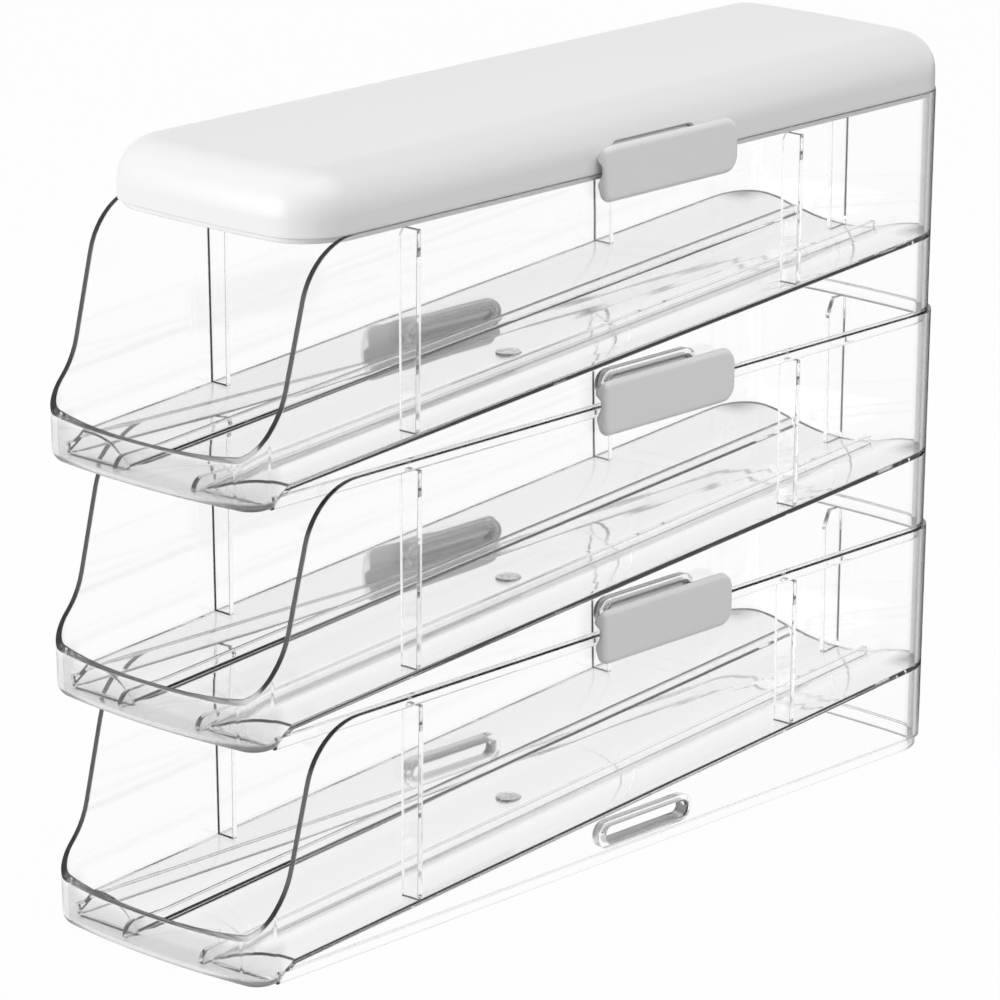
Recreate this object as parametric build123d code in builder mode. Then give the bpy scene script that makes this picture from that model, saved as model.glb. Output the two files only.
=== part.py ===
from build123d import *
import os
from math import cos, radians, sin, sqrt, tan

# Overall size of one tier. Y runs from the mouth (-Y) to the back (+Y), and
# heights are measured from the bottom of the tier's own foot.
tier_length = 352.3
tier_width = 100.0
rim_height = 84.0
nest_depth = 4.0
wall = 2.0
wall_draft = 0.86
front_corner = 9.0
back_corner = 16.0
front_bow = 4.0
back_bow = 3.0

# Foot ring, which drops inside the rim of the tier below
foot_height = 4.5
foot_round = 1.4
nest_clear = 0.4

# Nose: the front of the tier, where the bottom edge is rounded and has no foot
nose_length = 14.5
nose_round = 5.0

# Mouth: low bowed lip and the side walls' swept front edges
lip_height = 15.9
lip_back = 2.4
bend_back = 17.6
bend_height = 32.2
crest_back = 31.4
crest_radius = 24.0
bend_radius = 27.0
lip_radius = 5.0

# Sloping dished floor and the trough behind the lip
floor_thick = 1.8
floor_slope = 4.5
floor_front = 5.87
dish_depth = 6.8
dish_half = 44.0
trough_length = 12.8
ramp_angle = 35.0
trough_round = 6.0

# Two runners on the floor
rail_spacing = 36.0
rail_width = 2.0
rail_height = 3.3
rail_tip = 8.3
rail_nose = 4.6
rail_back_gap = 5.0

# Upright fins that carry the foot above
fin_thick = 1.8
fin_reach = 7.2
front_fin = 79.3
rear_fin = 268.3
back_fin_reach = 8.0
fin_bevel = 3.0

# Clip slots low on both long sides
slot_length = 42.5
slot_height = 6.4
slot_level = 10.6
slot_back = 191.3
slot_taper = 9.0
collar_depth = 5.0
collar_wall = 1.6
collar_end = 2.6

# Catch under the rim that a clip's hook takes hold of
catch_length = 58.0
catch_proud = 1.3
catch_land = 0.5
catch_angle = 62.0

# Round moulding gate on the floor
gate_radius = 4.4
gate_height = 0.3
gate_back = 172.3

# Lid
lid_front = 27.3
lid_bow = 2.6
lid_inset = 0.6
lid_height = 24.3
lid_wall = 2.2
lid_edge = 14.0
lid_front_corner = 20.0
skirt_wall = 1.8
skirt_depth = 2.0
skirt_height = 7.0

# Clip, with its pivot at the origin while it is drawn
clip_length = 66.0
clip_height = 19.0
clip_top = 2.4
clip_reach = 8.1
clip_wall = 2.6
clip_shift = 4.5
clip_corner = 6.0
clip_end_corner = 2.4
clip_edge = 1.8
clip_land = 0.1
pivot_rise = 0.8
pivot_depth = 2.2
barrel_radius = 1.5
tongue_clear = 1.8
pin_radius = 0.8
pin_clear = 0.05
pin_length = 1.2
arm_thick = 1.6
arm_drop = 20.0
tab_tip = 3.15
hook_gap = 0.4
wall_gap = 0.35

# Heights and widths that follow from the sizes above
pitch = rim_height - nest_depth
draft_rate = tan(radians(wall_draft))
slope_rate = tan(radians(floor_slope))
mouth_y = -tier_length / 2
back_y = tier_length / 2
base_half = tier_width / 2 - (rim_height - foot_height) * draft_rate
base_front = mouth_y + (lip_height - foot_height) * draft_rate
base_back = back_y - (rim_height - foot_height) * draft_rate
foot_inset = wall + nest_clear - (pitch - foot_height) * draft_rate
slot_y = mouth_y + slot_back
pivot_z = slot_level + pivot_rise
pivot_x = base_half - pivot_depth
slot_face = base_half + (slot_level - foot_height) * draft_rate
collar_face = slot_face - collar_depth


def floor_level(y, x=0.0):
    """Height of the floor's upper face."""
    return floor_front + (y - mouth_y) * slope_rate - dish_depth + dish_rise(x)


def dish_rise(x):
    """Rise of the dished floor above its middle, two equal arcs back to back."""
    half = dish_half / 2
    radius = (half**2 + (dish_depth / 2) ** 2) / dish_depth
    if abs(x) < half:
        return radius - sqrt(radius**2 - x**2)
    if abs(x) < dish_half:
        return dish_depth - radius + sqrt(radius**2 - (dish_half - abs(x)) ** 2)
    return dish_depth


def plan(inset):
    """Outline of a tier seen from above, at the level of the foot's top."""
    with BuildSketch() as outline:
        with BuildLine():
            front_arc = ThreePointArc(
                (-base_half, base_front + front_bow),
                (0, base_front),
                (base_half, base_front + front_bow),
            )
            back_arc = ThreePointArc(
                (base_half, base_back - back_bow),
                (0, base_back),
                (-base_half, base_back - back_bow),
            )
            Line(front_arc @ 1, back_arc @ 0)
            Line(back_arc @ 1, front_arc @ 0)
        make_face()
        fillet(outline.vertices().sort_by(Axis.Y)[:2], front_corner)
        fillet(outline.vertices().sort_by(Axis.Y)[-2:], back_corner)
        if inset > 0:
            offset(amount=-inset, mode=Mode.REPLACE)
    return outline.sketch


def below_floor(drop):
    """Everything under the floor's upper face, that face lowered by drop."""
    middle = dish_rise(dish_half / 2)
    quarter_rise = dish_rise(dish_half / 4)
    along = Plane(
        origin=(0, mouth_y, floor_front - dish_depth - drop),
        x_dir=(1, 0, 0),
        z_dir=(0, -cos(radians(floor_slope)), -sin(radians(floor_slope))),
    )
    with BuildPart() as ground:
        with BuildSketch(along):
            with BuildLine():
                ThreePointArc((-dish_half / 2, middle), (0, 0), (dish_half / 2, middle))
                outer_right = ThreePointArc(
                    (dish_half / 2, middle),
                    (dish_half * 3 / 4, dish_depth - quarter_rise),
                    (dish_half, dish_depth),
                )
                outer_left = ThreePointArc(
                    (-dish_half / 2, middle),
                    (-dish_half * 3 / 4, dish_depth - quarter_rise),
                    (-dish_half, dish_depth),
                )
                Polyline(
                    outer_right @ 1,
                    (tier_width, dish_depth),
                    (tier_width, -tier_width),
                    (-tier_width, -tier_width),
                    (-tier_width, dish_depth),
                    outer_left @ 1,
                )
            make_face()
        extrude(amount=tier_length * 1.2, both=True)
        ramp_run = tier_width
        bottom = floor_thick - drop
        ramp_foot = mouth_y + trough_length + drop * tan(radians(ramp_angle / 2))
        with BuildSketch(Plane.YZ):
            with BuildLine():
                FilletPolyline(
                    (mouth_y - wall * 10, bottom),
                    (ramp_foot, bottom),
                    (ramp_foot + ramp_run, bottom + ramp_run * tan(radians(ramp_angle))),
                    radius=trough_round + drop,
                )
                Polyline(
                    (ramp_foot + ramp_run, bottom + ramp_run * tan(radians(ramp_angle))),
                    (mouth_y - wall * 10, bottom + ramp_run * tan(radians(ramp_angle))),
                    (mouth_y - wall * 10, bottom),
                )
            make_face()
        extrude(amount=tier_width, both=True, mode=Mode.SUBTRACT)
        with BuildSketch(Plane.XY.offset(bottom)):
            Rectangle(tier_width * 2, tier_length * 2)
        extrude(amount=-tier_width)
    return ground.part


def nose(inset, bottom, top, rounding):
    """Front end of the drafted walls, with its bottom edge rounded."""
    with BuildPart() as front:
        with BuildSketch(Plane.XY.offset(bottom)):
            add(plan(inset + (foot_height - bottom) * draft_rate))
        extrude(amount=top - bottom, taper=-wall_draft)
        fillet(front.faces().sort_by(Axis.Z)[0].edges(), rounding)
        split(bisect_by=nose_end, keep=Keep.TOP)
    return front.part


def hollow():
    """Space inside the walls, from the foot's bottom to above the rim."""
    with BuildPart() as space:
        with BuildSketch(Plane.XY.offset(foot_height)):
            add(plan(wall))
        extrude(amount=rim_height, taper=-wall_draft)
        with BuildSketch(Plane.XY.offset(-foot_height)):
            add(plan(wall + foot_inset))
        extrude(amount=2 * foot_height)
        split(bisect_by=nose_end, keep=Keep.BOTTOM)
    return space.part


nose_end = Plane.XZ.offset(-mouth_y - nose_length)
upper_ground = below_floor(0.0)
lower_ground = below_floor(floor_thick)
inner_space = hollow()

# Space above the floor, open at the top and at the mouth
with BuildPart() as bay:
    add(inner_space)
    add(nose(wall, floor_thick, rim_height + foot_height, nose_round - wall))
    add(upper_ground, mode=Mode.SUBTRACT)

# Space under the floor, open below
with BuildPart() as cellar:
    add(inner_space)
    add(lower_ground, mode=Mode.INTERSECT)

# One clear tier: walls, foot, floor, runners, fins, slot collars and catches
with BuildPart() as tier:
    with BuildSketch(Plane.XY.offset(foot_height)):
        add(plan(0.0))
    extrude(amount=rim_height - foot_height, taper=-wall_draft)
    with BuildSketch():
        add(plan(foot_inset))
    extrude(amount=foot_height)
    fillet(tier.faces().sort_by(Axis.Z)[0].edges(), foot_round)
    split(bisect_by=nose_end, keep=Keep.BOTTOM)
    add(nose(0.0, 0.0, rim_height, nose_round))
    add(bay.part, mode=Mode.SUBTRACT)
    add(cellar.part, mode=Mode.SUBTRACT)

    # Side walls sweep down to the lip at the mouth
    with BuildSketch(Plane.YZ):
        with BuildLine():
            FilletPolyline(
                (mouth_y - wall * 10, lip_height),
                (mouth_y + lip_back, lip_height),
                (mouth_y + bend_back, bend_height),
                (mouth_y + crest_back, rim_height),
                (mouth_y + crest_back + rim_height, rim_height),
                radius=[lip_radius, bend_radius, crest_radius],
            )
            Polyline(
                (mouth_y + crest_back + rim_height, rim_height),
                (mouth_y + crest_back + rim_height, rim_height * 1.5),
                (mouth_y - wall * 10, rim_height * 1.5),
                (mouth_y - wall * 10, lip_height),
            )
        make_face()
    extrude(amount=tier_width, both=True, mode=Mode.SUBTRACT)

    # Runners, each with a nose that curves down into the trough
    rail_x = rail_spacing / 2
    rail_start = mouth_y + rail_tip
    rail_end = base_back - wall - rail_back_gap
    rail_root = floor_thick / 2
    for side in (-1, 1):
        with BuildSketch(Plane.YZ.offset(side * rail_x)):
            with BuildLine():
                nose_level = floor_level(rail_start + 4 * rail_nose, rail_x) + rail_height
                FilletPolyline(
                    (rail_start, rail_root),
                    (rail_start, nose_level),
                    (rail_start + 4 * rail_nose, nose_level),
                    (rail_end, floor_level(rail_end, rail_x) + rail_height),
                    radius=[rail_nose, rail_nose * 4],
                )
                Polyline(
                    (rail_end, floor_level(rail_end, rail_x) + rail_height),
                    (rail_end, floor_level(rail_end, rail_x) - rail_root),
                    (rail_start + 4 * rail_nose, rail_root),
                    (rail_start, rail_root),
                )
            make_face()
        extrude(amount=rail_width / 2, both=True)

    # Fins on the side walls
    fin_tip = base_half - wall - fin_reach
    fin_root = base_half - wall / 2
    for fin_back in (front_fin, rear_fin):
        fin_y = mouth_y + fin_back
        fin_foot = floor_level(fin_y, fin_tip) - floor_thick / 2
        for side in (-1, 1):
            with BuildSketch(Plane.XZ.offset(-fin_y)):
                with BuildLine():
                    Polyline(
                        (side * fin_root, fin_foot),
                        (side * fin_root, pitch),
                        (side * (fin_tip + fin_bevel / 2), pitch),
                        (side * fin_tip, pitch - fin_bevel),
                        (side * fin_tip, fin_foot),
                        close=True,
                    )
                make_face()
            extrude(amount=fin_thick / 2, both=True)

    # Fin in the middle of the back wall
    back_fin_tip = base_back - wall - back_fin_reach
    back_fin_foot = floor_level(back_fin_tip) - floor_thick / 2
    with BuildSketch(Plane.YZ):
        with BuildLine():
            Polyline(
                (base_back - wall / 2, back_fin_foot),
                (base_back - wall / 2, pitch),
                (back_fin_tip + fin_bevel, pitch),
                (back_fin_tip, pitch - 2 * fin_bevel),
                (back_fin_tip, back_fin_foot),
                close=True,
            )
        make_face()
    extrude(amount=fin_thick / 2, both=True)

    # Moulding gate, a low round pad standing square on the floor
    gate_y = mouth_y + gate_back
    with BuildSketch(Plane.XY.offset(floor_level(gate_y) - floor_thick / 2)):
        with Locations((0, gate_y)):
            Circle(gate_radius)
    extrude(amount=floor_thick / 2 + gate_height + gate_radius * slope_rate)

    # Slots with inner collars and pivot holes, one on each side
    for side in (-1, 1):
        inward = Plane(
            origin=(side * collar_face, slot_y, slot_level),
            x_dir=(0, 1, 0),
            z_dir=(side, 0, 0),
        )
        with BuildSketch(inward):
            SlotOverall(slot_length + 2 * collar_end, slot_height + 2 * collar_wall)
        extrude(amount=collar_depth - wall / 2)
        outside = Plane(
            origin=(side * slot_face, slot_y, slot_level),
            x_dir=(0, 1, 0),
            z_dir=(-side, 0, 0),
        )
        with BuildSketch(outside):
            SlotOverall(slot_length, slot_height)
        extrude(amount=collar_depth + wall, taper=slot_taper, mode=Mode.SUBTRACT)
        with BuildSketch(outside):
            SlotOverall(slot_length, slot_height)
        extrude(amount=-wall, mode=Mode.SUBTRACT)
        with Locations((side * pivot_x, slot_y, pivot_z)):
            Cylinder(
                pin_radius + pin_clear,
                slot_length + 2 * (pin_length - pin_clear),
                rotation=(90, 0, 0),
                mode=Mode.SUBTRACT,
            )

    # Catches under the rim, opposite the clips' hooks
    catch_face = tier_width / 2
    catch_drop = catch_land + catch_proud * tan(radians(catch_angle))
    for side in (-1, 1):
        catch_y = slot_y + side * clip_shift
        with BuildSketch(Plane.XZ.offset(-catch_y)):
            with BuildLine():
                Polyline(
                    (side * (catch_face - wall / 2), rim_height),
                    (side * (catch_face + catch_proud), rim_height),
                    (side * (catch_face + catch_proud), rim_height - catch_land),
                    (side * (catch_face - 0.1), rim_height - catch_drop - 0.1),
                    (side * (catch_face - wall / 2), rim_height - catch_drop - 0.1),
                    close=True,
                )
            make_face()
        extrude(amount=catch_length / 2, both=True)

# Lid: a crowned shell that sits on the top rim, with a skirt that drops inside it
lid_half = tier_width / 2 - lid_inset
lid_front_y = mouth_y + lid_front
lid_back_y = back_y - lid_inset
lid_bottom = nest_depth


def lid_plan(inset):
    """Outline of the lid seen from above."""
    with BuildSketch() as outline:
        with BuildLine():
            front_arc = ThreePointArc(
                (-lid_half, lid_front_y + lid_bow),
                (0, lid_front_y),
                (lid_half, lid_front_y + lid_bow),
            )
            back_arc = ThreePointArc(
                (lid_half, lid_back_y - back_bow),
                (0, lid_back_y),
                (-lid_half, lid_back_y - back_bow),
            )
            Line(front_arc @ 1, back_arc @ 0)
            Line(back_arc @ 1, front_arc @ 0)
        make_face()
        fillet(outline.vertices().sort_by(Axis.Y)[:2], lid_front_corner)
        fillet(outline.vertices().sort_by(Axis.Y)[-2:], back_corner)
        if inset > 0:
            offset(amount=-inset, mode=Mode.REPLACE)
    return outline.sketch


# Inset of the skirt from the lid's outer face, so that it clears the rim as a foot does
skirt_inset = foot_inset + (rim_height - foot_height) * draft_rate - lid_inset

with BuildPart() as lid_space:
    with BuildSketch(Plane.XY.offset(lid_bottom)):
        add(lid_plan(lid_wall))
    extrude(amount=lid_height - lid_bottom - lid_wall)
    fillet(lid_space.faces().sort_by(Axis.Z)[-1].edges(), lid_edge - lid_wall)

with BuildPart() as skirt:
    with BuildSketch(Plane.XY.offset(nest_depth - skirt_depth)):
        add(lid_plan(skirt_inset))
        add(lid_plan(skirt_inset + skirt_wall), mode=Mode.SUBTRACT)
    extrude(amount=skirt_height)

with BuildPart() as lid_shell:
    with BuildSketch(Plane.XY.offset(lid_bottom)):
        add(lid_plan(0.0))
    extrude(amount=lid_height - lid_bottom)
    fillet(lid_shell.faces().sort_by(Axis.Z)[-1].edges(), lid_edge)
    add(lid_space.part, mode=Mode.SUBTRACT)
    add(skirt.part)

    # Slots with collars and pivot holes, as on the tiers
    lid_face = lid_half + 0.1
    for side in (-1, 1):
        inward = Plane(
            origin=(side * collar_face, slot_y, slot_level),
            x_dir=(0, 1, 0),
            z_dir=(side, 0, 0),
        )
        with BuildSketch(inward):
            SlotOverall(slot_length + 2 * collar_end, slot_height + 2 * collar_wall)
        extrude(amount=lid_half - lid_wall / 2 - collar_face)
        outside = Plane(
            origin=(side * lid_face, slot_y, slot_level),
            x_dir=(0, 1, 0),
            z_dir=(-side, 0, 0),
        )
        with BuildSketch(outside):
            SlotOverall(slot_length, slot_height)
        extrude(amount=lid_face - collar_face + wall, taper=slot_taper, mode=Mode.SUBTRACT)
        with Locations((side * pivot_x, slot_y, pivot_z)):
            Cylinder(
                pin_radius + pin_clear,
                slot_length + 2 * (pin_length - pin_clear),
                rotation=(90, 0, 0),
                mode=Mode.SUBTRACT,
            )

# Clip for the right-hand side, with its pivot on the Y axis
catch_out = tier_width / 2 + catch_proud - pivot_x
catch_under = rim_height - catch_land - pitch - pivot_z
hook_slope = tan(radians(catch_angle))
hook_reach = tier_width / 2 + wall_gap - pivot_x
notch = clip_reach - clip_wall
hook_shift = hook_gap / sin(radians(catch_angle))
hook_top = catch_under + (notch - catch_out - hook_shift) * hook_slope
hook_tip = catch_under + (hook_reach - catch_out - hook_shift) * hook_slope
clip_bottom = clip_top - clip_height

with BuildPart() as clip:
    # Section through the body, with the upper tab and the lower hook
    with BuildSketch(Plane.XZ.offset(-clip_shift)):
        with BuildLine():
            Polyline(
                (clip_reach, clip_bottom),
                (clip_reach, clip_top),
                (clip_reach - clip_edge - clip_land, clip_top),
                (tab_tip + 0.4, -1.1),
                (tab_tip, -1.7),
                (tab_tip, -2.6),
                (notch, -4.4),
                (notch, hook_top),
                (hook_reach, hook_tip),
                (hook_reach, hook_tip - 0.9),
                (notch - 0.4, clip_bottom + 1.4),
                (notch + 0.6, clip_bottom),
                close=True,
            )
        make_face()
    extrude(amount=clip_length / 2, both=True)

    # Outline of the face: one end rounded large, the other small
    with BuildSketch(Plane.YZ) as face_outline:
        with Locations((clip_shift, clip_top - clip_height / 2)):
            Rectangle(clip_length, clip_height)
        fillet(face_outline.vertices().sort_by(Axis.X)[:2], clip_end_corner)
        fillet(face_outline.vertices().sort_by(Axis.X)[-2:], clip_corner)
    extrude(amount=clip_reach * 2, both=True, mode=Mode.INTERSECT)
    fillet(clip.faces().sort_by(Axis.X)[-1].edges(), clip_edge)

    # Barrel in the slot, the arm that joins it to the body, and the pivot pins
    tongue = slot_length - 2 * (tongue_clear + collar_depth * tan(radians(slot_taper)))
    with BuildSketch(Plane.XZ):
        Circle(barrel_radius)
    extrude(amount=tongue / 2, both=True)
    arm_line = Plane(
        origin=(0, 0, 0),
        x_dir=(cos(radians(arm_drop)), 0, -sin(radians(arm_drop))),
        z_dir=(0, -1, 0),
    )
    with BuildSketch(arm_line):
        with Locations(((notch + clip_wall / 2) / 2, 0)):
            Rectangle(notch + clip_wall / 2, arm_thick)
    extrude(amount=tongue / 2, both=True)
    with BuildSketch(Plane.XZ):
        Circle(pin_radius)
    extrude(amount=slot_length / 2 + pin_length - 2 * pin_clear, both=True)

# The same tier three times, one on another
with BuildPart() as bottom_tier:
    add(tier.part)
with BuildPart() as middle_tier:
    with Locations((0, 0, pitch)):
        add(tier.part)
with BuildPart() as top_tier:
    with Locations((0, 0, 2 * pitch)):
        add(tier.part)
with BuildPart() as lid:
    with Locations((0, 0, 3 * pitch)):
        add(lid_shell.part)

# The same clip six times, two at the foot of each piece above the bottom tier
right_turn = (0, 0, 0)
left_turn = (0, 0, 180)
with BuildPart() as middle_clip_right:
    with Locations(Location((pivot_x, slot_y, pitch + pivot_z), right_turn)):
        add(clip.part)
with BuildPart() as middle_clip_left:
    with Locations(Location((-pivot_x, slot_y, pitch + pivot_z), left_turn)):
        add(clip.part)
with BuildPart() as top_clip_right:
    with Locations(Location((pivot_x, slot_y, 2 * pitch + pivot_z), right_turn)):
        add(clip.part)
with BuildPart() as top_clip_left:
    with Locations(Location((-pivot_x, slot_y, 2 * pitch + pivot_z), left_turn)):
        add(clip.part)
with BuildPart() as lid_clip_right:
    with Locations(Location((pivot_x, slot_y, 3 * pitch + pivot_z), right_turn)):
        add(clip.part)
with BuildPart() as lid_clip_left:
    with Locations(Location((-pivot_x, slot_y, 3 * pitch + pivot_z), left_turn)):
        add(clip.part)

os.makedirs("parts", exist_ok=True)
pieces = {
    "bottom_tier": bottom_tier,
    "middle_tier": middle_tier,
    "top_tier": top_tier,
    "lid": lid,
    "middle_clip_right": middle_clip_right,
    "middle_clip_left": middle_clip_left,
    "top_clip_right": top_clip_right,
    "top_clip_left": top_clip_left,
    "lid_clip_right": lid_clip_right,
    "lid_clip_left": lid_clip_left,
}
for name, piece in pieces.items():
    piece.part.label = name
    export_step(piece.part, "parts/" + name + ".step")
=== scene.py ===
import math

import bpy
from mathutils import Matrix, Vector

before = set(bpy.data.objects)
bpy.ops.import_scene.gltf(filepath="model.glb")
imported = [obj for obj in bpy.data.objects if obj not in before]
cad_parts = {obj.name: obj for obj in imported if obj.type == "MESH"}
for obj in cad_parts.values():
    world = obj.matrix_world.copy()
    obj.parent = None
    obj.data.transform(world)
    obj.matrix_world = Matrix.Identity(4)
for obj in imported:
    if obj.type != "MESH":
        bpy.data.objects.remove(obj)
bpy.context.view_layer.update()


# ---------------------------------------------------------------------------
# The three clear tiers
# Each one is a single injection moulding in hard clear plastic, 2 mm thick,
# polished by the mould all over, with every parting edge just broken.
# ---------------------------------------------------------------------------
TIER_PITCH = 0.08
TIER_IOR = 1.53
BODY_COLOUR = (0.68, 0.72, 0.73, 1.0)
BODY_DENSITY = 7.0
BROKEN_EDGE = 0.0006

# Where a tier's marks lie, in metres. Each pair runs from no mark to the full mark.
LIP_LEVEL = 0.0156
FOOT_LEVEL = -0.0002
SWEEP_FRONT, SWEEP_TOP = (-0.112, -0.114), (0.0643, 0.0640)
RIM_END_SIDE, RIM_END_TOP = (0.0466, 0.0472), (0.0690, 0.0685)
NOSE_FRONT, NOSE_TOP = (-0.1585, -0.1625), (0.0165, 0.0135)
BAND_FRONT, BAND_TOP = (-0.1605, -0.1630), (0.0014, 0.0002)
BAND_SPAN, BAND_CLIMB = (0.004, 0.040), 0.0030
BACK_CORNER_SIDE, BACK_CORNER_REAR = (0.032, 0.040), (0.154, 0.163)
SLOT_LEVEL, SLOT_MIDDLE, SLOT_HALF = 0.0106, 0.01515, 0.01805
SLOT_RADIUS, SLOT_SIDE = (0.0036, 0.0034), (0.0410, 0.0415)
GATE_MIDDLE, GATE_RADIUS = -0.00385, (0.0046, 0.0042)

# Which way a face has to point to be part of a mark, from no mark to the full mark
SWEEP_RISING, SWEEP_SIDEWAYS = (0.15, 0.22), (0.3, 0.2)
BAND_NOT_FLAT, BAND_DOWNWARD = (-0.99, -0.93), (0.1, -0.1)
SLOT_END_FACING = (-0.2, -0.6)

# Painted shade for the swept edge, the nose's lower band, the slots and the nose, the gate's own
# grey, and the roughness added where a face is less polished
SWEEP_PAINTED_SHADES, SWEEP_SHADE_RISING = (1.0, 0.42), (0.25, 1.0)
BAND_PAINTED_SHADE, SLOT_PAINTED_SHADE, SLOT_END_PAINTED_SHADE = 0.16, 0.40, 0.06
GATE_TONE, GATE_STREAKS = (0.22, 0.22, 0.23, 1.0), (0.30, 0.62)
NOSE_TONE = 0.84
EDGE_FROST = 0.30


def grey(tone):
    return (tone, tone, tone, 1.0)


# Painted shade for the clear plastic from face on to edge on, standing in for the dark edges that
# refraction shows, for the walls and for the thick rounded corners
WALL_PAINTED_SHADE = ((0.36, grey(1.0)), (0.62, grey(0.90)), (0.80, grey(0.80)), (0.90, grey(0.42)),
              (1.0, (0.04, 0.045, 0.045, 1.0)))
CORNER_PAINTED_SHADE = ((0.34, grey(1.0)), (0.48, grey(0.50)), (0.66, grey(0.16)), (0.84, grey(0.04)),
                (0.96, grey(0.02)))


def put(tree, value, socket):
    """Sets a plain value on a socket, or links another node's output to it."""
    if isinstance(value, (float, tuple)):
        socket.default_value = value
    else:
        tree.links.new(value, socket)


def maths(tree, operation, *values):
    step = tree.nodes.new("ShaderNodeMath")
    step.operation = operation
    for socket, value in zip(step.inputs, values):
        put(tree, value, socket)
    return step.outputs["Value"]


def product(tree, result, *others):
    for other in others:
        result = maths(tree, "MULTIPLY", result, other)
    return result


def reach(tree, first, second):
    """How far a point lies from a centre, given its distances along two axes."""
    squares = [product(tree, side, side) for side in (first, second)]
    return maths(tree, "SQRT", maths(tree, "ADD", *squares))


def fade(tree, value, limits, ends=(0.0, 1.0)):
    """Runs evenly from one end to the other between two limits, and is level beyond them."""
    band = tree.nodes.new("ShaderNodeMapRange")
    band.inputs["From Min"].default_value, band.inputs["From Max"].default_value = limits
    band.inputs["To Min"].default_value, band.inputs["To Max"].default_value = ends
    tree.links.new(value, band.inputs["Value"])
    return band.outputs["Result"]


def blend(tree, share, first, second, kind="FLOAT", way="MIX"):
    """The first value where the share is 0, the second where it is 1."""
    mix = tree.nodes.new("ShaderNodeMix")
    mix.data_type = kind
    mix.blend_type = way
    put(tree, share, mix.inputs["Factor"])
    put(tree, first, mix.inputs["A"])
    put(tree, second, mix.inputs["B"])
    return mix.outputs["Result"]


def noise(tree, vector, **settings):
    cloud = tree.nodes.new("ShaderNodeTexNoise")
    tree.links.new(vector, cloud.inputs["Vector"])
    for name, value in settings.items():
        put(tree, value, cloud.inputs[name])
    return cloud.outputs["Fac"]


def axes(tree, vector):
    split = tree.nodes.new("ShaderNodeSeparateXYZ")
    tree.links.new(vector, split.inputs["Vector"])
    return split.outputs["X"], split.outputs["Y"], split.outputs["Z"]


def ramp(tree, value, stops):
    """Colours at their stops, listed in order, with an even run between them."""
    band = tree.nodes.new("ShaderNodeValToRGB")
    first, *between, last = stops
    for element, (place, colour) in zip(band.color_ramp.elements, (first, last)):
        element.position, element.color = place, colour
    for place, colour in between:
        band.color_ramp.elements.new(place).color = colour
    tree.links.new(value, band.inputs["Fac"])
    return band.outputs["Color"]


def moulded_skin_group():
    """The faint flow ripple, haze and handling marks that any polished moulding carries."""
    tree = bpy.data.node_groups.new("moulded_skin", "ShaderNodeTree")
    side = tree.interface.new_socket
    side(name="Vector", in_out="INPUT", socket_type="NodeSocketVector")
    usual_values = (("Ripple Scale", 40.0), ("Gloss Roughness", 0.1), ("Roughness Spread", 0.05))
    for name, usual in usual_values:
        side(name=name, in_out="INPUT", socket_type="NodeSocketFloat").default_value = usual
    for name in ("Height", "Roughness", "Cloud"):
        side(name=name, in_out="OUTPUT", socket_type="NodeSocketFloat")
    inlet = tree.nodes.new("NodeGroupInput").outputs
    outlet = tree.nodes.new("NodeGroupOutput").inputs
    flow = noise(tree, inlet["Vector"], Scale=inlet["Ripple Scale"], Detail=2.0, Roughness=0.45)
    haze = noise(tree, inlet["Vector"], Scale=9.0, Detail=5.0)
    dulled = maths(tree, "MULTIPLY_ADD", haze, inlet["Roughness Spread"], inlet["Gloss Roughness"])
    put(tree, flow, outlet["Height"])
    put(tree, dulled, outlet["Roughness"])
    put(tree, haze, outlet["Cloud"])
    return tree


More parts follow.
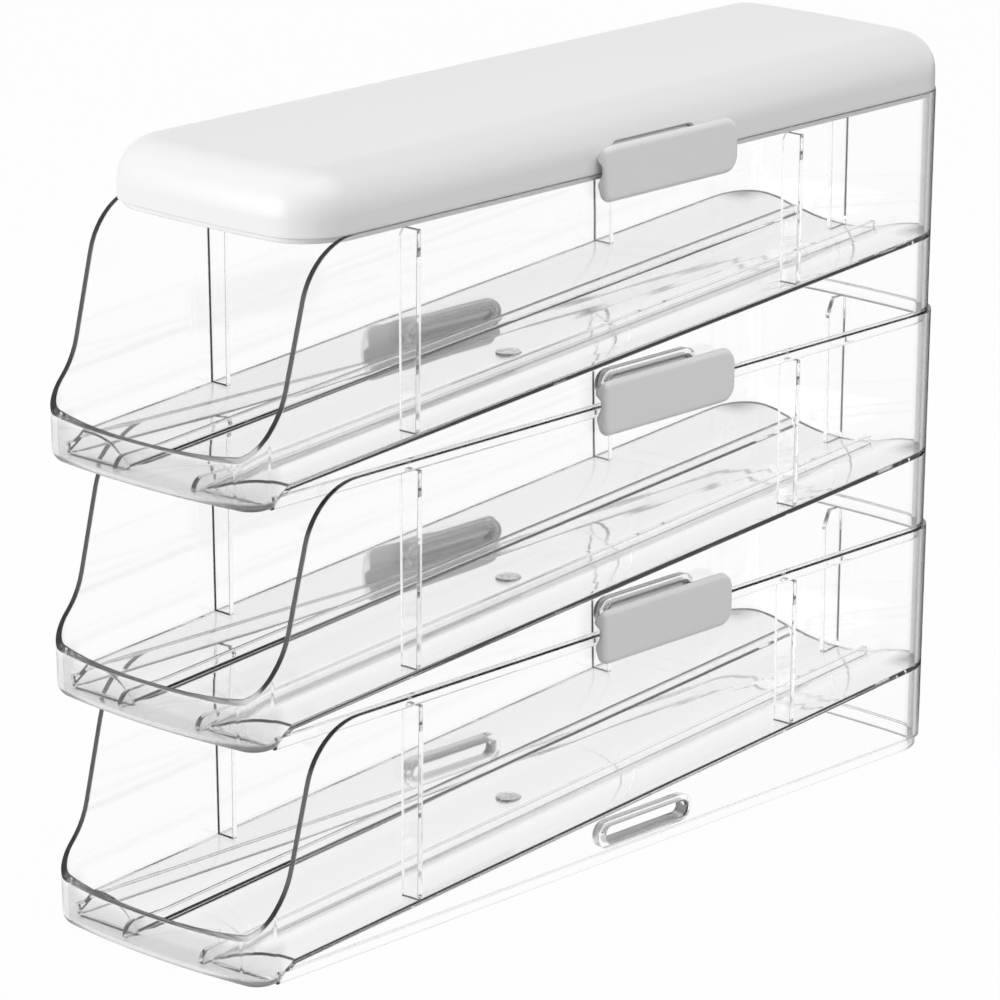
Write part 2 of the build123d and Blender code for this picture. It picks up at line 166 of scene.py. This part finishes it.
def tier_marks_group():
    """Where a tier looks unlike its plain walls: painted shade on the swept front edge, the slots,
    the rounded corners and the nose, and the gate's own mark. Heights are counted within one
    pitch, so that the same marks serve all three tiers."""
    tree = bpy.data.node_groups.new("tier_marks", "ShaderNodeTree")
    side = tree.interface.new_socket
    for name in ("Vector", "Normal"):
        side(name=name, in_out="INPUT", socket_type="NodeSocketVector")
    for name in ("Front Edge", "Edge Painted Shade", "Corner", "Gate", "Nose"):
        side(name=name, in_out="OUTPUT", socket_type="NodeSocketFloat")
    inlet = tree.nodes.new("NodeGroupInput").outputs
    outlet = tree.nodes.new("NodeGroupOutput").inputs
    x, y, z = axes(tree, inlet["Vector"])
    facing_x, facing_y, facing_z = axes(tree, inlet["Normal"])
    across = maths(tree, "ABSOLUTE", x)
    above_lip = maths(tree, "FLOORED_MODULO", maths(tree, "SUBTRACT", z, LIP_LEVEL), TIER_PITCH)
    above_foot = maths(tree, "FLOORED_MODULO", maths(tree, "SUBTRACT", z, FOOT_LEVEL), TIER_PITCH)

    # The open front edge, which sweeps from the lip up to the rim and ends beside it
    rim_end = product(tree, fade(tree, across, RIM_END_SIDE), fade(tree, above_lip, RIM_END_TOP))
    in_height = maths(tree, "MAXIMUM", fade(tree, above_lip, SWEEP_TOP), rim_end)
    in_sweep = product(tree, fade(tree, y, SWEEP_FRONT), in_height)
    sideways = maths(tree, "ABSOLUTE", facing_x)
    rising = fade(tree, facing_z, SWEEP_RISING)
    faces_out = product(tree, rising, fade(tree, sideways, SWEEP_SIDEWAYS))
    swept_edge = product(tree, in_sweep, faces_out)

    # The rounded lower edge of the nose, in a band that climbs towards both corners
    to_corner = fade(tree, across, BAND_SPAN)
    above_band = maths(tree, "SUBTRACT", above_foot, product(tree, to_corner, BAND_CLIMB))
    low_nose = product(tree, fade(tree, y, BAND_FRONT), fade(tree, above_band, BAND_TOP))
    not_flat = fade(tree, facing_z, BAND_NOT_FLAT)
    outer_round = product(tree, not_flat, fade(tree, facing_z, BAND_DOWNWARD))
    low_corner = product(tree, low_nose, outer_round, to_corner)

    # The faces inside a clip slot, which is a long hole with round ends
    off_middle = maths(tree, "ABSOLUTE", maths(tree, "SUBTRACT", y, SLOT_MIDDLE))
    past_end = maths(tree, "MAXIMUM", maths(tree, "SUBTRACT", off_middle, SLOT_HALF), 0.0)
    above_slot = maths(tree, "SUBTRACT", maths(tree, "FLOORED_MODULO", z, TIER_PITCH), SLOT_LEVEL)
    near_slot = fade(tree, reach(tree, past_end, above_slot), SLOT_RADIUS)
    in_slot = product(tree, near_slot, fade(tree, across, SLOT_SIDE))
    slot_end = product(tree, in_slot, fade(tree, facing_y, SLOT_END_FACING))

    sweep_or_corner = maths(tree, "MAXIMUM", swept_edge, low_corner)
    less_polished_and_shaded = maths(tree, "MAXIMUM", sweep_or_corner, in_slot)
    # Painted shade: steep faces of the swept edge darker, the nose's rounded lower band, the slot
    # faces and the slot ends darker still
    painted_edge_shade = fade(tree, facing_z, SWEEP_SHADE_RISING, SWEEP_PAINTED_SHADES)
    painted_edge_shade = blend(tree, low_corner, painted_edge_shade, BAND_PAINTED_SHADE)
    painted_edge_shade = blend(tree, in_slot, painted_edge_shade, SLOT_PAINTED_SHADE)
    painted_edge_shade = blend(tree, slot_end, painted_edge_shade, SLOT_END_PAINTED_SHADE)

    # The back corners, the whole nose, and the streaky disc where the plastic was let in
    beside = fade(tree, across, BACK_CORNER_SIDE)
    back_corner = product(tree, beside, fade(tree, y, BACK_CORNER_REAR))
    nose = product(tree, fade(tree, y, NOSE_FRONT), fade(tree, above_foot, NOSE_TOP))
    swirl = noise(tree, inlet["Vector"], Scale=420.0, Detail=3.0, Distortion=2.5)
    from_gate = reach(tree, across, maths(tree, "SUBTRACT", y, GATE_MIDDLE))
    gate = product(tree, fade(tree, from_gate, GATE_RADIUS), fade(tree, swirl, GATE_STREAKS))

    put(tree, less_polished_and_shaded, outlet["Front Edge"])
    put(tree, painted_edge_shade, outlet["Edge Painted Shade"])
    put(tree, back_corner, outlet["Corner"])
    put(tree, gate, outlet["Gate"])
    put(tree, nose, outlet["Nose"])
    return tree


moulded_skin = moulded_skin_group()
tier_marks = tier_marks_group()


def bare_material(name):
    """A new material with nothing in it but its output."""
    made = bpy.data.materials.new(name)
    made.use_nodes = True
    made.node_tree.nodes.clear()
    return made, made.node_tree, made.node_tree.nodes.new("ShaderNodeOutputMaterial").inputs


def lay_skin(tree, shell, ripple_scale, gloss, spread, strength, depth, rounding, samples):
    """Gives a shell the moulded skin and softly broken edges."""
    place = tree.nodes.new("ShaderNodeTexCoord").outputs
    skin = tree.nodes.new("ShaderNodeGroup")
    skin.node_tree = moulded_skin
    skin.inputs["Ripple Scale"].default_value = ripple_scale
    skin.inputs["Gloss Roughness"].default_value = gloss
    skin.inputs["Roughness Spread"].default_value = spread
    tree.links.new(place["Object"], skin.inputs["Vector"])
    rounded = tree.nodes.new("ShaderNodeBevel")
    rounded.samples = samples
    rounded.inputs["Radius"].default_value = rounding
    ripple = tree.nodes.new("ShaderNodeBump")
    ripple.inputs["Strength"].default_value = strength
    ripple.inputs["Distance"].default_value = depth
    tree.links.new(skin.outputs["Height"], ripple.inputs["Height"])
    tree.links.new(rounded.outputs["Normal"], ripple.inputs["Normal"])
    tree.links.new(ripple.outputs["Normal"], shell.inputs["Normal"])
    return place, skin.outputs


def clear_moulding_material():
    """Hard clear plastic, painted grey as shade where it is seen edge on, with painted shade, the
    gate's own grey and more roughness on its marked places.
    """
    made, tree, out = bare_material("clear_moulding")
    shell = tree.nodes.new("ShaderNodeBsdfPrincipled")
    shell.inputs["Metallic"].default_value = 0.0
    shell.inputs["IOR"].default_value = TIER_IOR
    shell.inputs["Transmission Weight"].default_value = 1.0
    place, skin = lay_skin(tree, shell, ripple_scale=26.0, gloss=0.0, spread=0.03,
                           strength=0.08, depth=0.0006, rounding=BROKEN_EDGE, samples=4)
    marks = tree.nodes.new("ShaderNodeGroup")
    marks.node_tree = tier_marks
    tree.links.new(place["Object"], marks.inputs["Vector"])
    tree.links.new(place["Normal"], marks.inputs["Normal"])
    marked = marks.outputs

    # Painted shade: seen nearly along the surface the plastic is painted grey, standing in for the
    # dark edges that refraction shows, and sooner at a thick back corner
    facing = tree.nodes.new("ShaderNodeLayerWeight")
    facing.inputs["Blend"].default_value = 0.5
    wall_shade = ramp(tree, facing.outputs["Facing"], WALL_PAINTED_SHADE)
    corner_shade = ramp(tree, facing.outputs["Facing"], CORNER_PAINTED_SHADE)
    tint_with_painted_shade = blend(tree, marked["Corner"], wall_shade, corner_shade, "RGBA")
    # The open front edge, the slots and the gate are less polished than the walls; the edge and
    # slot tones laid on here are painted shade
    tint_with_painted_shade = blend(tree, marked["Front Edge"], tint_with_painted_shade, marked["Edge Painted Shade"], "RGBA")
    tint_with_painted_shade = blend(tree, marked["Gate"], tint_with_painted_shade, GATE_TONE, "RGBA")
    # The nose bends the light round its lower edge and looks greyer than the walls
    tint_with_painted_shade = blend(tree, marked["Nose"], tint_with_painted_shade, grey(NOSE_TONE), "RGBA", "MULTIPLY")
    tree.links.new(tint_with_painted_shade, shell.inputs["Base Color"])
    frosted = maths(tree, "MULTIPLY_ADD", marked["Front Edge"], EDGE_FROST, skin["Roughness"])
    tree.links.new(frosted, shell.inputs["Roughness"])

    body = tree.nodes.new("ShaderNodeVolumeAbsorption")
    body.inputs["Color"].default_value = BODY_COLOUR
    body.inputs["Density"].default_value = BODY_DENSITY
    tree.links.new(shell.outputs["BSDF"], out["Surface"])
    tree.links.new(body.outputs["Volume"], out["Volume"])
    return made


def dress(names, material):
    for name in names:
        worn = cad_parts[name].data.materials
        worn.clear()
        worn.append(material)


dress(("bottom_tier", "middle_tier", "top_tier"), clear_moulding_material())


# ---------------------------------------------------------------------------
# The lid
# One opaque white moulding, crowned on top with one soft sweep round the
# edge, and a short skirt that drops inside the rim of the top tier.
# ---------------------------------------------------------------------------
LID_WHITE = 0.86
CLOUD_SHADE = 0.975


def white_moulding_material(name, white, gloss, ripple_scale, rounding):
    """Opaque white plastic with a barely clouded colour and a satin gloss."""
    made, tree, out = bare_material(name)
    shell = tree.nodes.new("ShaderNodeBsdfPrincipled")
    shell.inputs["Metallic"].default_value = 0.0
    shell.inputs["IOR"].default_value = 1.49
    place, skin = lay_skin(tree, shell, ripple_scale=ripple_scale, gloss=gloss, spread=0.08,
                           strength=0.05, depth=0.0004, rounding=rounding, samples=6)
    shade = blend(tree, skin["Cloud"], grey(white * CLOUD_SHADE), grey(white), "RGBA")
    tree.links.new(shade, shell.inputs["Base Color"])
    tree.links.new(skin["Roughness"], shell.inputs["Roughness"])
    tree.links.new(shell.outputs["BSDF"], out["Surface"])
    return made


white_lid = white_moulding_material(
    "white_lid", LID_WHITE, gloss=0.28, ripple_scale=30.0, rounding=0.0006)
dress(("lid",), white_lid)


# ---------------------------------------------------------------------------
# The six clips
# Small white mouldings with a tab at the top and a hook along the foot that
# reaches under the rim below. Each turns on two pins in the slot that holds it.
# ---------------------------------------------------------------------------
CLIP_WHITE = 0.84

white_clip = white_moulding_material(
    "white_clip", CLIP_WHITE, gloss=0.32, ripple_scale=60.0, rounding=0.0014)
for owner in ("middle", "top", "lid"):
    dress((f"{owner}_clip_right", f"{owner}_clip_left"), white_clip)


# ---------------------------------------------------------------------------
# The table, the sky and the lamps
# A plain pale table under an even white surround, with one broad lamp above
# on the right and one in front on the left.
# ---------------------------------------------------------------------------
TABLE_RADIUS, TABLE_LEVEL = 4.0, -0.0002
PAPER_GREY = 0.6
TABLE_GLOW_SHARE = 0.98
ROOM_GREY, ROOM_STRENGTH = 0.78, 0.46
SKY_DIMMING, SKY_TONES = (0.2, 0.6), (1.0, 0.45)

# The sides of the painted dark reflection on the table, each a line of X against Y with its slope,
# its offset and how far the patch fades there, and then the patch's front
PAINTED_REFLECTION_SIDES = ((0.40, -0.02, (0.04, -0.04)), (-1.30, 0.15, (-0.04, 0.04)))
PAINTED_REFLECTION_FRONT = (0.17, 0.20)
PAINTED_REFLECTION_TONES = (1.0, 0.05)

LAMP_AIM = (0, 0, 0.12)
LAMP_WIDTH = 1.4


def seen_surround(tree):
    """1 for rays that see the surround straight, in gloss or through clear plastic."""
    path = tree.nodes.new("ShaderNodeLightPath").outputs
    straight = maths(tree, "MAXIMUM", path["Is Camera Ray"], path["Is Transmission Ray"])
    return path, maths(tree, "MAXIMUM", straight, path["Is Glossy Ray"])


def glowing(tree, kind, colour, strength):
    light = tree.nodes.new(kind)
    put(tree, colour, light.inputs["Color"])
    put(tree, strength, light.inputs["Strength"])
    return light.outputs[0]


def mixed(tree, share, first, second):
    mix = tree.nodes.new("ShaderNodeMixShader")
    for socket, value in zip(mix.inputs, (share, first, second)):
        tree.links.new(value, socket)
    return mix.outputs["Shader"]


bpy.ops.mesh.primitive_circle_add(
    vertices=96, radius=TABLE_RADIUS, fill_type="NGON", location=(0, 0, TABLE_LEVEL))
table = bpy.context.object
table.name = "table"

table_face, tree, out = bare_material("table_face")
path, seen = seen_surround(tree)
# Painted reflection: a dark patch on the table, seen only in gloss and not through the clear
# plastic, stands in for a dark card behind the object and draws its rounded back corner
x, y, _ = axes(tree, tree.nodes.new("ShaderNodeTexCoord").outputs["Object"])
within = []
for slope, offset, limits in PAINTED_REFLECTION_SIDES:
    side = maths(tree, "MULTIPLY_ADD", y, slope, offset)
    within.append(fade(tree, maths(tree, "SUBTRACT", x, side), limits))
within.append(fade(tree, y, PAINTED_REFLECTION_FRONT))
not_through = maths(tree, "SUBTRACT", 1.0, path["Is Transmission Ray"])
painted_reflection = product(tree, *within, path["Is Glossy Ray"], not_through)
glow_and_painted_reflection = glowing(tree, "ShaderNodeEmission", grey(1.0), fade(tree, painted_reflection, (0.0, 1.0), PAINTED_REFLECTION_TONES))
paper = tree.nodes.new("ShaderNodeBsdfDiffuse")
paper.inputs["Color"].default_value = grey(PAPER_GREY)
face = mixed(tree, product(tree, seen, TABLE_GLOW_SHARE), paper.outputs["BSDF"], glow_and_painted_reflection)
tree.links.new(face, out["Surface"])
table.data.materials.append(table_face)

sky = bpy.data.worlds.new("studio")
bpy.context.scene.world = sky
sky.use_nodes = True
tree = sky.node_tree
tree.nodes.clear()
path, seen = seen_surround(tree)
room = glowing(tree, "ShaderNodeBackground", grey(ROOM_GREY), ROOM_STRENGTH)
# For gloss and clear plastic the surround is white near the horizon and dim overhead
_, _, height = axes(tree, tree.nodes.new("ShaderNodeTexCoord").outputs["Generated"])
dimming = fade(tree, height, SKY_DIMMING, SKY_TONES)
dimmed = glowing(tree, "ShaderNodeBackground", grey(1.0), dimming)
white = glowing(tree, "ShaderNodeBackground", grey(1.0), 1.0)
surround = mixed(tree, path["Is Camera Ray"], mixed(tree, seen, room, dimmed), white)
tree.links.new(surround, tree.nodes.new("ShaderNodeOutputWorld").inputs["Surface"])


def soft_lamp(name, place, watts):
    lamp = bpy.data.lights.new(name, "AREA")
    lamp.shape = "SQUARE"
    lamp.size = LAMP_WIDTH
    lamp.energy = watts
    holder = bpy.data.objects.new(name, lamp)
    bpy.context.scene.collection.objects.link(holder)
    holder.location = place
    holder.rotation_euler = (Vector(LAMP_AIM) - Vector(place)).to_track_quat("-Z", "Y").to_euler()


soft_lamp("overhead_lamp", (0.62, 0.1, 1.45), 13.0)
soft_lamp("front_lamp", (-0.6, -1.9, 0.45), 29.0)


# ---------------------------------------------------------------------------
# The camera
# A long lens from the front right and a little above, as in the photograph.
# ---------------------------------------------------------------------------
CAMERA_PLACE = (1.26668, -1.35785, 0.66625)
CAMERA_DOWN, CAMERA_ROUND = 16.408, 43.157

lens = bpy.data.cameras.new("camera")
lens.sensor_width = 36.0
lens.lens = 203.2
lens.clip_start = 0.05
lens.clip_end = 30.0
camera = bpy.data.objects.new("camera", lens)
bpy.context.scene.collection.objects.link(camera)
camera.location = CAMERA_PLACE
camera.rotation_euler = (math.radians(90 - CAMERA_DOWN), 0.0, math.radians(CAMERA_ROUND))
bpy.context.scene.camera = camera

bpy.context.scene.view_settings.view_transform = "Standard"
bounces = bpy.context.scene.cycles
bounces.max_bounces = 16
bounces.transmission_bounces = 16
bounces.glossy_bounces = 8
